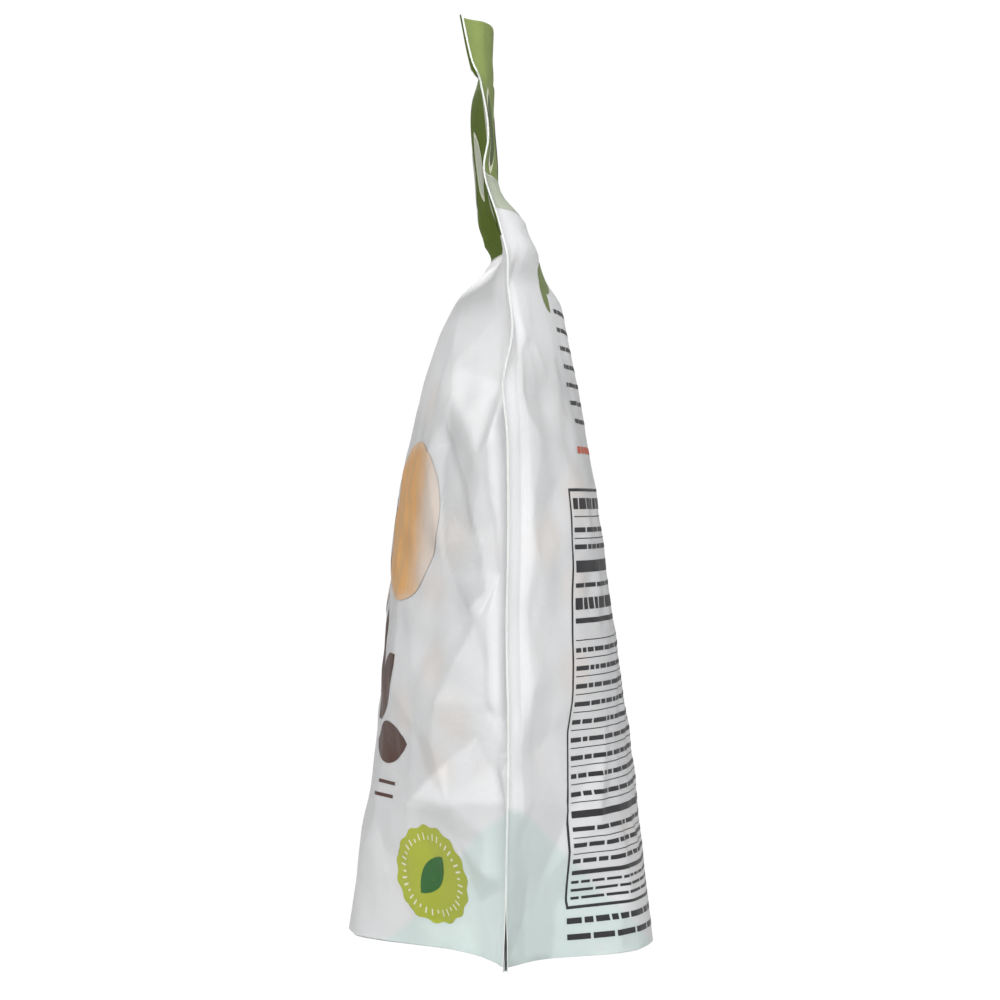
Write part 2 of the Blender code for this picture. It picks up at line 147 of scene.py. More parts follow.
# Listed crease points: (s, t, height) in millimetres
CREASES = {
    FRONT: (
        # The flat triangle above the near corner of the base, and the streak beside it
        (74, 60, -1.8), (38, 40.3, 0.1), (60, 42.5, 0.7), (82, 43, 0.5), (77, 69, 0.9), (84, 58, 0.7),
        (80, 54, -1.2), (56, 58, 0.6), (60, 70, 0.8),
        # The sealed corner of the base
        (49, 22.3, 0.2), (22, 3, 0.0), (73, 34, -0.8), (73, 23, 1.0), (60, 7, -0.5), (83, 22, 0.5),
        (61, 31, -0.4), (66, 15, -0.9),
        # The long fold down the near side, and the leaf of film between it and the seam
        (48, 168, 1.0), (56, 159, 1.4), (58, 151, 1.2), (55, 140, -1.7), (62, 132, -2.0), (67, 124, -2.0),
        (71, 115, -1.7), (72, 106, -1.3), (74, 92, -0.4), (66, 146, 0.9), (73, 136, 0.9), (75, 127, 0.6),
        (79, 117, 1.5), (81, 104, 0.8), (52, 124, 1.0), (60, 108, 0.9),
    ),
    BACK: (
        # The sealed corner of the base
        (84, 32, -0.7), (76, 36, 0.5), (71, 22, 0.8), (64, 15, -0.2), (45, 6, 0.1), (78, 44, 0.5),
        (60, 40, 0.0), (80, 12, -0.6), (78, 22, -0.8),
        # The hollow beside the top of the fill
        (44, 160, -2.0), (34, 152, -1.2), (60, 150, 0.8), (76, 140, 0.9), (74, 166, 0.7),
        # Soft folds beside the near seam
        (70, 124, -0.9), (79, 108, 0.8), (72, 92, -0.8), (80, 76, 0.7), (68, 62, -0.7),
    ),
}
# How far the film follows its flat facets: everywhere, in the near corner of the foot, and beside the seams
LOOSE_SHARE, FOOT_SHARE, SEAM_SHARE = {FRONT: 0.40, BACK: 0.22}, 0.95, 0.85
NEAR_CORNER, FACET_FOOT, FACET_EDGE = (0.030, 0.012), (0.060, 0.015), 0.010
FACET_REACH, FACET_REACH_FADE, FACET_SEAL = {FRONT: 0.042, BACK: 0.020}, 0.020, (0.008, 0.006)
FACET_TOP, FACET_TOP_FADE = 0.142, 0.018
FACET_RISE, FACET_RISE_RAMP = 0.023, (0.025, 0.02)  # they reach this much higher near the near seam
HEADER_INK = {FRONT: 0.192, BACK: 0.2085}  # the header's colour reaches down to here

# Colours, linear
FILM_DARK, FILM_LIGHT = (0.630, 0.637, 0.650), (0.695, 0.696, 0.698)
# The header's green is one print, given a shaded and a lit copy: darker on the front as painted shade, lighter
# and greyer on the back as painted light
FRONT_GREEN_SHADED_DARK, FRONT_GREEN_SHADED_LIGHT = (0.075, 0.120, 0.004), (0.105, 0.155, 0.006)
BACK_GREEN_LIT_DARK, BACK_GREEN_LIT_LIGHT = (0.235, 0.30, 0.09), (0.275, 0.345, 0.12)
MINT, PEACH = (0.87, 0.985, 0.955), (1.0, 0.93, 0.87)
INSIDE_WHITE, EDGE_WHITE = (0.62, 0.63, 0.63), (0.80, 0.82, 0.80)
GUSSET_DARK, GUSSET_LIGHT = (0.55, 0.60, 0.585), (0.62, 0.67, 0.655)
ZIP_CLOUDY, ZIP_DARK, ZIP_LIGHT = (0.80, 0.82, 0.82), (0.74, 0.77, 0.77), (0.86, 0.87, 0.87)
SKIN, SKIN_DARK, SKIN_LIGHT = (0.35, 0.17, 0.07), (0.22, 0.09, 0.035), (0.52, 0.30, 0.14)
NUT_BROWN, NUT_STREAK, NUT_PALE = (0.80, 0.42, 0.14), (0.10, 0.09, 0.06), (0.70, 0.61, 0.54)

# Painted light on the film: patches of painted highlight and painted fold shade on the front as (corners in mm,
# lighter by), with their soft edge in mm
PAINTED_HIGHLIGHT_AND_SHADE_PATCHES = ((((38.0, 40.3), (63.0, 42.5), (84.0, 42.5), (74.0, 61.0)), 0.14),
           (((37.0, 39.5), (60.0, 41.0), (62.0, 53.5), (50.0, 48.0)), 0.14),
           (((83.5, 55.5), (85.5, 60.0), (84.0, 66.0), (80.5, 68.5), (77.5, 68.5)), 0.14),
           (((71.0, 95.0), (77.0, 100.0), (75.0, 112.0), (68.0, 128.0), (54.0, 146.0), (57.0, 126.0),
             (63.0, 107.0)), -0.20))
PATCH_EDGE = 1.6
FOOT_PAINTED_LIGHT, FOOT_ACROSS, FOOT_UP = 0.34, (0.035, 0.03), 0.055  # the front film's near foot is painted this much lighter, as painted light
SEAL_WHITE_AND_PAINTED_LIGHT, SEAL_EDGE = 1.27, 0.0015  # the seals are whiter than the film over the kernels: partly their own colour, with no kernels behind, and partly painted light for the lit near fin
LOOSE_SEAM, LOOSE_SEAM_FADE = 0.35, 0.012  # and so, by a share, is the film beside them, partly painted light
NECK_SHARE = {FRONT: 0.9, BACK: 1.0}  # and over the fill, partly painted light
NECK_RAMP = {FRONT: (0.140, 0.020), BACK: (0.155, 0.015)}
BARE_UP, BARE_ACROSS = (0.172, 0.008), (0.072, 0.010)  # but not the front's slope under the zip, which is left darker as painted shade
BASE_START, BASE_CURVE, BASE_EDGE, MINT_LOOSE = 0.020, 0.8, 0.0025, 0.16  # where the base sheet shows through; its mint takes a share of the seals' whitening, partly painted light
WARM_BAND, WARM_NEAR, WARM_FADE, WARM_SHARE = 0.014, 0.0125, 0.004, 0.55  # where kernels lie close

# The zip's ridges, pressed through the film
ZIP_RIDGES, ZIP_RIDGE, ZIP_RIDGE_HALF, ZIP_REACH, ZIP_END = (-0.0035, 0.0035), 0.00045, 0.0013, 0.083, 0.003

# The film's soft lumps: waves summed, their shortest and longest span, their height, and where they fade
LUMP_WAVES, LUMP_SPANS, LUMP_HEIGHT = 16, (0.010, 0.020), 0.00015
LUMP_SEED = SEED + 20
LUMP_SEAM, LUMP_SEAM_FADE = 0.002, 0.008
LUMP_FOOT, LUMP_TOP, LUMP_CORNER, CORNER_CALM = (0.010, 0.015), (0.155, 0.012), (0.060, 0.012), 0.8

# Noise scales, and how far the sheen drifts
CRINKLE, CRINKLE_DEPTH = 420.0, 0.00012
MOTTLE, SHEEN, SHEEN_LOW, SHEEN_HIGH = 45.0, 160.0, -0.06, 0.08
SKIN_MOTTLE, SKIN_GRAIN, SKIN_DEPTH, ZIP_MOTTLE = 260.0, 700.0, 0.0003, 180.0
COAT_ROUGHNESS = 0.35
SHARP = 50  # degrees: only edges sharper than this stay hard

BACKDROP = 1.02  # the backdrop and the floor as they are seen
SKY_LOW, SKY_HIGH = 0.35, 0.19  # the surround's own light, at the horizon and overhead
FLOOR_HALF, FLOOR_GREY = 6.0, 0.66
LIGHT_AIM = (0.0, 0.0, 0.12)
LIGHTS = (("key_box", (1.5, 0.20, 0.95), (0.45, 0.45), 22.0), ("left_box", (0.25, -1.5, 0.7), (0.5, 0.9), 8.5),
          ("right_box", (0.75, 1.1, 0.75), (0.4, 0.8), 3.6), ("far_box", (-1.4, -0.3, 0.9), (0.6, 0.6), 6.0))

# The kernels: life-size, in close layers
KERNEL_RADIUS = 0.0069
KERNEL_STEP = 0.0144
KERNEL_CLEAR = 0.0009
KERNEL_JITTER = 0.00025
KERNEL_WIDTH, KERNEL_FLAT, KERNEL_TIP = 0.95, 0.92, 0.12
KERNEL_ROWS, KERNEL_COLUMNS = 4, 7  # tried to either side of the middle

# Prints, in millimetres on the flat cut: a nut is its middle and half sizes
NUT = (33.0, 118.5, 24.5, 22.0)
MORE_NUTS = ((-14.0, 108.0, 23.0, 21.0), (-46.0, 124.0, 22.0, 20.5))
# A leaf is its stalk end, length, width and lean
BROWN_LEAVES = ((6, 62, 33, 14, 36), (3, 68, 29, 13, 66), (-5, 68, 29, 13, 114), (-8, 62, 33, 14, 144),
                (-12, 56, 30, 12, 178), (10, 56, 30, 12, 2))
GREEN_LEAVES = ((63, 186, 20, 8, 190), (60, 184, 12, 6, 228))
# A header leaf is its stalk end and lean: they share their length and width, and an edging drawn further out
HEADER_LEAVES = {FRONT: ((85, 216, 78), (86, 194.5, 97), (48, 206, 60), (30, 209, 118), (2, 206, 62),
                         (-16, 210, 120), (-44, 206, 60), (-62, 209, 116)),
                 BACK: ((85, 211, 96), (52, 211, 64), (30, 213, 118), (0, 211, 62), (-20, 213, 120),
                        (-50, 211, 64), (-72, 213, 112))}
HEADER_LEAF, HEADER_EDGING, EDGING_BACK = (20, 9.5), (23.8, 13), 1.9
# The badge: middle and radius, height by width, its edge's waves and their depth, its leaf and ticks
BADGE, BADGE_SQUASH, BADGE_WAVES, BADGE_WAVE = (46.5, 21.0, 15.4), 0.90, 15, 0.4
BADGE_LEAF = (-5, -5.5, 15.5, 7.5, 46)
TICKS, TICK_IN, TICK_OUT, TICK_SHORT, TICK_HALF = 36, 0.72, 0.86, 0.80, 0.28
# A bar is its left end, middle, length and height
RULES = ((19, 45.2, 12, 1.0), (17, 41.4, 12.5, 1.0), (-33, 45.2, 12, 1.0), (-31.5, 41.4, 12.5, 1.0))
BAND = (-94.2, 204.0, 188.4, 9.0)
# The table: its frame, and the height and thickness of its rows, its thin rules and its thick bars
TABLE_FRAME, TABLE_LEFT, TABLE_WIDE = (-26.0, 62.0, 13.6, 127.0, 0.8), -24, 84
TABLE_ROWS = ([(123.3, 3.0), (116.2, 1.3), (111.6, 1.3), (101.2, 1.2), (96.2, 3.2)]
              + [(83.6 - 4.9 * k, 1.25) for k in range(9)]
              + [(35.0 - 4.4 * k, 1.2) for k in range(3)] + [(20.4 - 2.2 * k, 0.75) for k in range(3)])
TABLE_RULES = [119.8, 113.9] + [86.3 - 4.9 * k for k in range(10)] + [32.6, 28.2]
TABLE_RULE = 0.25
TABLE_BARS = ((106.3, 3.2), (91.6, 1.4), (39.0, 1.9), (23.0, 1.2))
# Rows of word bars as (start, end, height, thickness), with the bars' lengths and the space between them
LINES = [(46.0, -38.0, 176.0 - 5.0 * k, 1.2) for k in range(7)]
FOOT_LINES = ((62.0, -40.0, 10.0, 1.6), (62.0, -10.0, 5.6, 1.6))
RED_LINE = (50.0, -30.0, 138.0, 1.9)
WORD_SHORT, WORD_LONG, WORD_SPACE = 2.2, 9.0, 0.9
INK_LIFT = 0.00007  # each print stands this far off what it is printed on
INK_DARKER = 0.88  # the darker of an ink's two tones, as a share of the lighter


def smoothstep(value):
    """0 below 0, 1 above 1 and a smooth ramp between."""
    value = np.clip(value, 0.0, 1.0)
    return value * value * (3.0 - 2.0 * value)


def ramp(value, start, width):
    """A smooth ramp from 0 at the start to 1 a width further on."""
    return smoothstep((value - start) / width)


def along(knots, at):
    """The values at `at` on a smooth curve that passes through the knots without overshooting."""
    places, values = (np.array(part) for part in zip(*knots))
    steps = np.diff(values) / np.diff(places)
    before, after = steps[:-1], steps[1:]
    same = before * after > 0
    inner = np.where(same, 2 * before * after / np.where(same, before + after, 1.0), 0.0)
    slopes = np.concatenate(([steps[0]], inner, [steps[-1]]))
    at = np.clip(at, places[0], places[-1])
    i = np.clip(np.searchsorted(places, at, side="right") - 1, 0, len(places) - 2)
    width = places[i + 1] - places[i]
    u = (at - places[i]) / width
    cubic = (1 + 2 * u) * (1 - u) ** 2 * values[i] + u * u * (3 - 2 * u) * values[i + 1]
    return cubic + width * (u * (1 - u) ** 2 * slopes[i] - u * u * (1 - u) * slopes[i + 1])


def header_y(s, t):
    """The middle surface of the flat header above the zip."""
    middle, wave = along(HEADER_MIDDLE, t), along(HEADER_WAVE, t)
    edge = along(HEADER_EDGE, t) - middle - wave * WAVE_ACROSS[-1][1]
    curl = smoothstep((s - FLAT_HALF + EDGE_CURL) / EDGE_CURL) ** 2
    bent = np.sin(math.pi * np.clip((s - FLAT_HALF + HOOK_REACH) / HOOK_REACH, 0.0, 1.0))
    bent = HOOK * bent * ramp(t, NOTCH_HEIGHT, HOOK_RISE)
    return middle + wave * along(WAVE_ACROSS, s / FLAT_HALF) + edge * curl - bent


def half_room(s, t):
    """Half the way between the two films where nothing fills the pouch: almost none in the seals."""
    inside = FLAT_HALF - np.abs(s)
    opened = ramp(inside, *OPENED_RAMP) * (1.0 - ramp(t, *TOP_SEAL_RAMP))
    split = smoothstep((s - FLAT_HALF + SEAL) / SEAL) * (1.0 - smoothstep(t / SPLIT_TOP))
    return SEAL_HALF_ROOM + (HEADER_HALF_ROOM - SEAL_HALF_ROOM) * opened + SPLIT_ROOM * split


def belly_y(side, s, t):
    """A panel's middle surface below the zip, where the fill pushes it out between its side seals."""
    part = np.minimum(np.abs(s) / (FLAT_HALF - SEAL), 1.0)
    foot = along(FRONT_FOOT if side == FRONT else BACK_FOOT, part)
    low = 1.0 - smoothstep(t / FOOT_REACH)
    share = low * foot + (1.0 - low) * (1.0 - part ** along(FRONT_ROUND if side == FRONT else BACK_ROUND, t))
    seam = along(SEAM_LEAN, t)
    depth = along(FRONT_DEPTH if side == FRONT else BACK_DEPTH, t)
    return seam + side * half_room(s, t) + (depth - seam) * share


def fin_lean(s, t):
    """How far the side seal's root is pushed towards the back, so that its fin stands askew."""
    inside = FLAT_HALF - np.abs(s)
    across = smoothstep(inside / SEAL) * (1.0 - smoothstep((inside - SEAL) / FIN_ROOT))
    return FIN_LEAN * across * smoothstep((FIN_TOP - t) / FIN_FADE) * ramp(t, FIN_BOTTOM, FIN_FADE)


def panel_y(side, s, t):
    """A panel's middle surface: the belly below, the header above, and the room that the zip needs."""
    up = smoothstep((t - HEADER_START[side]) / (HEADER_FULL - HEADER_START[side]))
    inner = smoothstep((FLAT_HALF - np.abs(s)) / SEAL)
    swell = (ZIP_HALF_ROOM - HEADER_HALF_ROOM) * smoothstep(1.5 - np.abs(t - ZIP_HEIGHT) / ZIP_SWELL) * inner
    room = half_room(s, t) + swell
    wander = along(SEAM_WAVE, t) * smoothstep((s - FLAT_HALF + SEAM_WAVE_REACH) / SEAM_WAVE_REACH)
    belly = belly_y(side, s, t) + side * swell + fin_lean(s, t) + wander
    return (1.0 - up) * belly + up * (header_y(s, t) + side * room)


def flat_grid(cell):
    """The flat places of a panel's grid: s and t of each point, with the tear notches drawn in."""
    across = np.linspace(-FLAT_HALF, FLAT_HALF, 2 * round(FLAT_HALF / cell) + 1)
    up = np.linspace(FOOT, HEIGHT, round((HEIGHT - FOOT) / cell) + 1)
    s, t = np.meshgrid(across, up)
    notch = NOTCH_DEPTH * np.clip(1.0 - np.abs(t - NOTCH_HEIGHT) / NOTCH_HALF, 0.0, 1.0)
    reach = np.clip((np.abs(s) - (FLAT_HALF - NOTCH_REACH)) / NOTCH_REACH, 0.0, 1.0)
    return s - np.sign(s) * notch * reach, t


def panel_form(s, t):
    """Both panels' middle surfaces at flat places s, t, with the film not stretched sideways."""
    fine = np.linspace(-FLAT_HALF, FLAT_HALF, ACROSS_POINTS)
    middle = len(fine) // 2
    rows = {}
    for side in (FRONT, BACK):
        depth = panel_y(side, fine[None, :], t[:, :1])
        run, rise = np.diff(fine)[None, :], np.diff(depth, axis=1)
        sideways = np.sqrt(np.maximum(run ** 2 - rise ** 2, LEAST_RUN * run ** 2))
        x = np.concatenate((np.zeros((len(t), 1)), np.cumsum(sideways, 1)), 1)
        rows[side] = x - x[:, middle:middle + 1]
    left = (rows[FRONT][:, 0] + rows[BACK][:, 0]) / 2
    right = (rows[FRONT][:, -1] + rows[BACK][:, -1]) / 2
    forms = {}
    for side, x in rows.items():
        x = np.where(x < 0, x * (left / x[:, 0])[:, None], x * (right / x[:, -1])[:, None])
        own = np.array([np.interp(s[k], fine, x[k]) for k in range(len(t))])
        sag = SAG * ramp(s, *SAG_RAMP) * ramp(t, ZIP_HEIGHT, HEIGHT - ZIP_HEIGHT)
        forms[side] = np.stack((own, panel_y(side, s, t), t - sag), axis=-1)
    return forms


def normals(grid):
    """The unit normal of a grid of points, pointing along across x up."""
    across, up = np.gradient(grid, axis=1), np.gradient(grid, axis=0)
    normal = np.cross(across, up)
    return normal / np.linalg.norm(normal, axis=-1, keepdims=True)


def tie_sets(form, s):
    """The film's ties as (first, second, length), in sets whose points don't meet within a set.

    They are as long as on the form, and a little longer up the side seals, where the film puckers.
    """
    near_seam = smoothstep((np.abs(s) - PUCKER_START) / (FLAT_HALF - SEAL - PUCKER_START))
    spare = (1.0 + PUCKER * near_seam)[..., None]
    whole, early, late = slice(None), slice(None, -1), slice(1, None)
    sets = []
    for k in (0, 1):
        odd, even = slice(k, -1, 2), slice(k + 1, None, 2)
        sets += [((whole, odd), (whole, even)), ((odd, whole), (even, whole)),
                 ((odd, early), (even, late)), ((odd, late), (even, early))]
    return [(a, b, np.linalg.norm(form[b] - form[a], axis=-1)[..., None] * spare[a]) for a, b in sets]


def stiffen(grid, share):
    """Moves each point a share of the way to the smooth line through its neighbours, both ways."""
    for axis in (0, 1):
        grid = np.swapaxes(grid, 0, axis)
        bend = np.zeros_like(grid)
        bend[1:-1] = (grid[:-2] + grid[2:]) / 2 - grid[1:-1]
        even = bend.copy()
        even[1:-1] -= (bend[:-2] + bend[2:]) / 2
        grid = np.swapaxes(grid + share * even, 0, axis)
    return grid


def relax(forms, target, s, t, rounds, bend):
    """Lets the film settle: every tie seeks its length, so what is too long buckles into puckers."""
    hold = hold_of(s, t)
    ties = {side: tie_sets(form, s) for side, form in target.items()}
    apart = target[BACK] - target[FRONT]
    joined = (np.abs(s) > FLAT_HALF - SEAL - SEAL_MARGIN)[..., None]
    for _ in range(rounds):
        for side in (FRONT, BACK):
            grid = forms[side]
            for a, b, length in ties[side]:
                gap = grid[b] - grid[a]
                far = np.linalg.norm(gap, axis=-1, keepdims=True)
                move = gap * (0.5 * (far - length) / far)
                grid[a] += move
                grid[b] -= move
            grid = stiffen(grid, bend)
            forms[side] = grid + hold * (target[side] - grid)
        middle = (forms[FRONT] + forms[BACK]) / 2
        forms[FRONT] = np.where(joined, middle - apart / 2, forms[FRONT])
        forms[BACK] = np.where(joined, middle + apart / 2, forms[BACK])
    return forms


def doubled(grid):
    """The grid with a point halfway between each two, on a smooth curve through them."""
    for axis in (0, 1):
        grid = np.swapaxes(grid, 0, axis)
        longer = np.concatenate((2 * grid[:1] - grid[1:2], grid, 2 * grid[-1:] - grid[-2:-1]))
        halfway = (9 * (longer[1:-2] + longer[2:-1]) - (longer[:-3] + longer[3:])) / 16
        both = np.empty((2 * len(grid) - 1,) + grid.shape[1:])
        both[0::2], both[1::2] = grid, halfway
        grid = np.swapaxes(both, 0, axis)
    return grid


def crease_points(side, rng):
    """Where the film's flat facets meet: listed ones with their height, and loose ones in between."""
    laid = [(a / 1000, b / 1000, c / 1000) for a, b, c in CREASES[side]]
    points = list(laid)
    for t in np.arange(*CREASE_ROWS, CREASE_PITCH):
        for s in np.arange(*CREASE_COLUMNS, CREASE_PITCH * CREASE_SQUEEZE):
            here = np.array((s, t)) + rng.uniform(-CREASE_STRAY, CREASE_STRAY, 2) * CREASE_PITCH
            height = rng.normal() * CREASE_HEIGHT
            if abs(here[0]) > FLAT_HALF - SEAL or here[1] < CREASE_FOOT:
                continue
            if min(np.hypot(here[0] - a, here[1] - b) for a, b, _ in points) > CREASE_CLEAR * CREASE_PITCH:
                points.append((here[0], here[1], height))
    for t in np.arange(0.0, HEIGHT, EDGE_STEP):
        points += [(-FLAT_HALF, t, 0.0), (FLAT_HALF, t, 0.0)]
    for s in np.arange(*EDGE_COLUMNS):
        points += [(s, -EDGE_PAST, 0.0), (s, CREASE_TOP, 0.0), (s, HEIGHT + EDGE_PAST, 0.0)]
    return points


def facet_share(side, s, t):
    """How far the film follows its flat facets: most at the near foot and beside the seals."""
    inside = FLAT_HALF - np.abs(s)
    foot = ramp(s, *NEAR_CORNER) * (1.0 - ramp(t, *FACET_FOOT)) * smoothstep(inside / FACET_EDGE)
    seam = SEAM_SHARE * (1.0 - ramp(inside, FACET_REACH[side], FACET_REACH_FADE)) * ramp(inside, *FACET_SEAL)
    top = 1.0 - smoothstep((t - FACET_TOP - FACET_RISE * ramp(s, *FACET_RISE_RAMP)) / FACET_TOP_FADE)
    return np.maximum.reduce((FOOT_SHARE * foot, seam, np.full_like(s, LOOSE_SHARE[side]))) * top


def faceted(side, form, s, t, rng):
    """The panel's form drawn part of the way to flat facets between its crease points."""
    points = crease_points(side, rng)
    out = normals(form) * -side
    rows = np.clip(np.searchsorted(t[:, 0], [p[1] for p in points]), 0, len(t) - 1)
    cols = np.clip(np.searchsorted(s[0], [p[0] for p in points]), 0, len(s[0]) - 1)
    lifted = form[rows, cols] + out[rows, cols] * np.array([p[2] for p in points])[:, None]
    flat = np.stack((s[0][cols], t[:, 0][rows]), axis=-1)
    triangles = delaunay_2d_cdt([Vector(p) for p in flat], [], [], 0, 1e-6, True)
    verts, faces, origin = np.array([tuple(v) for v in triangles[0]]), triangles[2], triangles[3]
    lifted = np.array([lifted[o[0]] for o in origin])
    shares = facet_share(side, s, t)
    made = form.copy()
    for a, b, c in faces:
        (ax, ay), (bx, by), (cx, cy) = verts[a], verts[b], verts[c]
        area = (bx - ax) * (cy - ay) - (cx - ax) * (by - ay)
        if abs(area) < 1e-9:
            continue
        wb = ((s - ax) * (cy - ay) - (cx - ax) * (t - ay)) / area
        wc = ((bx - ax) * (t - ay) - (s - ax) * (by - ay)) / area
        wa = 1.0 - wb - wc
        within = (wa >= -1e-9) & (wb >= -1e-9) & (wc >= -1e-9)
        chord = wa[..., None] * lifted[a] + wb[..., None] * lifted[b] + wc[..., None] * lifted[c]
        made[within] = (form + shares[..., None] * (chord - form))[within]
    return made


def dented_form(s, t):
    """Both panels' forms with their facets."""
    forms = panel_form(s, t)
    return {side: faceted(side, form, s, t, np.random.default_rng(SEED + side))
            for side, form in forms.items()}


def hold_of(s, t):
    """The share by which each round draws the film back to its form: most at the foot and its near corner."""
    inside = FLAT_HALF - np.abs(s)
    edge = 1.0 - smoothstep(inside / HOLD_EDGE_REACH)
    zipped = smoothstep(HOLD_ZIP_REACH - np.abs(t - ZIP_HEIGHT) / HOLD_ZIP_FADE)
    foot = 1.0 - smoothstep(t / HOLD_FOOT_REACH)
    corner = ramp(s, *NEAR_CORNER) * (1.0 - ramp(t, *HOLD_CORNER_RAMP))
    return np.maximum.reduce((HOLD_ALL + HOLD_EDGE * edge, HOLD_ZIP * zipped, HOLD_FOOT * foot,
                              HOLD_TOP * ramp(t, *HOLD_TOP_RAMP), HOLD_CORNER * corner))[..., None]


def settled_film():
    """Both panels' grids after the film has settled, first coarsely and then finely."""
    rng = np.random.default_rng(SEED)
    s, t = flat_grid(CELL * 2)
    forms = dented_form(s, t)
    start = {side: form + START_NOISE * rng.normal(size=form.shape) for side, form in forms.items()}
    coarse = relax(start, forms, s, t, COARSE_ROUNDS, COARSE_BEND)
    start = {side: doubled(grid) for side, grid in coarse.items()}
    s, t = flat_grid(CELL)
    return s, t, relax(start, dented_form(s, t), s, t, FINE_ROUNDS, FINE_BEND)


def ridged(side, grid, s, t):
    """The panel with the zip's two ridges pressed through it."""
    length = smoothstep((ZIP_REACH - np.abs(s)) / ZIP_END)
    ridge = sum(np.exp(-((t - ZIP_HEIGHT - up) / ZIP_RIDGE_HALF) ** 2) for up in ZIP_RIDGES)
    return grid - side * normals(grid) * (ZIP_RIDGE * ridge * length)[..., None]


def lumped(side, grid, s, t):
    """The panel with the soft lumps of the fill pressed into it, where the film lies on the kernels."""
    rng = np.random.default_rng(LUMP_SEED + side)
    relief = np.zeros_like(s)
    for _ in range(LUMP_WAVES):
        turn, phase = rng.uniform(0.0, 2 * math.pi, 2)
        wave = 2 * math.pi / rng.uniform(*LUMP_SPANS)
        relief += np.sin(wave * (s * math.cos(turn) + t * math.sin(turn)) + phase)
    inside = FLAT_HALF - np.abs(s)
    share = smoothstep((inside - SEAL - LUMP_SEAM) / LUMP_SEAM_FADE) * ramp(t, *LUMP_FOOT)
    corner = ramp(s, *NEAR_CORNER) * (1.0 - ramp(t, *LUMP_CORNER))
    share = share * (1.0 - ramp(t, *LUMP_TOP)) * (1.0 - CORNER_CALM * corner)
    return grid - side * normals(grid) * (LUMP_HEIGHT * share * relief / math.sqrt(LUMP_WAVES / 2))[..., None]


def placed(name, data):
    """A new object with this data, in the scene."""
    piece = bpy.data.objects.new(name, data)
    bpy.context.scene.collection.objects.link(piece)
    return piece


def shell(name, grid, outward, marks=None, tint=None):
    """A film sheet of FILM thickness round a grid of points, with its two faces and its cut edge."""
    rows, cols = grid.shape[:2]
    lift = normals(grid) * (outward * FILM / 2)
    points = np.concatenate(((grid + lift).reshape(-1, 3), (grid - lift).reshape(-1, 3)))
    index = np.arange(rows * cols).reshape(rows, cols)
    quads = np.stack((index[:-1, :-1], index[:-1, 1:], index[1:, 1:], index[1:, :-1]), axis=-1).reshape(-1, 4)
    ring = np.concatenate((index[0, :-1], index[:-1, -1], index[-1, :0:-1], index[:0:-1, 0]))
    after = np.roll(ring, -1)
    under = rows * cols
    rim = np.stack((ring, ring + under, after + under, after), axis=-1)
    faces = np.concatenate((quads, quads[:, ::-1] + under, rim))
    if outward < 0:
        faces = faces[:, ::-1]
    mesh = bpy.data.meshes.new(name)
    mesh.from_pydata(points.tolist(), [], faces.tolist())
    if marks is not None:
        kinds = np.concatenate((marks.reshape(-1), np.full(len(quads), INSIDE), np.full(len(rim), CUT_EDGE)))
        mesh.polygons.foreach_set("material_index", kinds.astype(np.int32))
    if tint is not None:
        layer = mesh.color_attributes.new("tint", "FLOAT_COLOR", "POINT")
        colour = np.ones((len(points), 4))
        colour[:rows * cols, :3] = tint.reshape(-1, 3)
        layer.data.foreach_set("color", colour.reshape(-1))
    mesh.shade_smooth()
    mesh.set_sharp_from_angle(angle=math.radians(SHARP))
    return placed(name, mesh)


def principled(name, colour, roughness, coat=0.0):
    """A Principled material, its node tree and its shader."""
    mat = bpy.data.materials.new(name)
    mat.use_nodes = True
    shader = mat.node_tree.nodes["Principled BSDF"]
    shader.inputs["Base Color"].default_value = (*colour, 1.0)
    shader.inputs["Roughness"].default_value = roughness
    shader.inputs["Coat Weight"].default_value = coat
    shader.inputs["Coat Roughness"].default_value = COAT_ROUGHNESS
    return mat, mat.node_tree, shader


def noise(tree, scale, detail=3.0, roughness=0.5):
    """A noise texture in the object's own coordinates."""
    place = tree.nodes.new("ShaderNodeTexCoord")
    texture = tree.nodes.new("ShaderNodeTexNoise")
    texture.inputs["Scale"].default_value = scale
    texture.inputs["Detail"].default_value = detail
    texture.inputs["Roughness"].default_value = roughness
    tree.links.new(place.outputs["Object"], texture.inputs["Vector"])
    return texture.outputs["Fac"]


def between(tree, value, low, high):
    """A value from 0 to 1 stretched to run from low to high."""
    spread = tree.nodes.new("ShaderNodeMapRange")
    spread.inputs["To Min"].default_value = low
    spread.inputs["To Max"].default_value = high
    tree.links.new(value, spread.inputs["Value"])
    return spread.outputs["Result"]


def mottled(tree, shader, dark, light, scale, tint=None):
    """Gives the shader a base colour that drifts between two tones, times the mesh's own tint."""
    blend = tree.nodes.new("ShaderNodeMix")
    blend.data_type = "RGBA"
    blend.inputs["A"].default_value = (*dark, 1.0)
    blend.inputs["B"].default_value = (*light, 1.0)
    tree.links.new(noise(tree, scale), blend.inputs["Factor"])
    colour = blend.outputs["Result"]
    if tint:
        layer = tree.nodes.new("ShaderNodeVertexColor")
        layer.layer_name = tint
        times = tree.nodes.new("ShaderNodeMix")
        times.data_type = "RGBA"
        times.blend_type = "MULTIPLY"
        times.inputs["Factor"].default_value = 1.0
        tree.links.new(colour, times.inputs["A"])
        tree.links.new(layer.outputs["Color"], times.inputs["B"])
        colour = times.outputs["Result"]
    tree.links.new(colour, shader.inputs["Base Color"])


def bumped(tree, shader, scale, depth, detail=4.0):
    """Gives the shader fine relief: depth is in metres."""
    bump = tree.nodes.new("ShaderNodeBump")
    bump.inputs["Strength"].default_value = 1.0
    bump.inputs["Distance"].default_value = depth
    tree.links.new(noise(tree, scale, detail, 0.55), bump.inputs["Height"])
    tree.links.new(bump.outputs["Normal"], shader.inputs["Normal"])


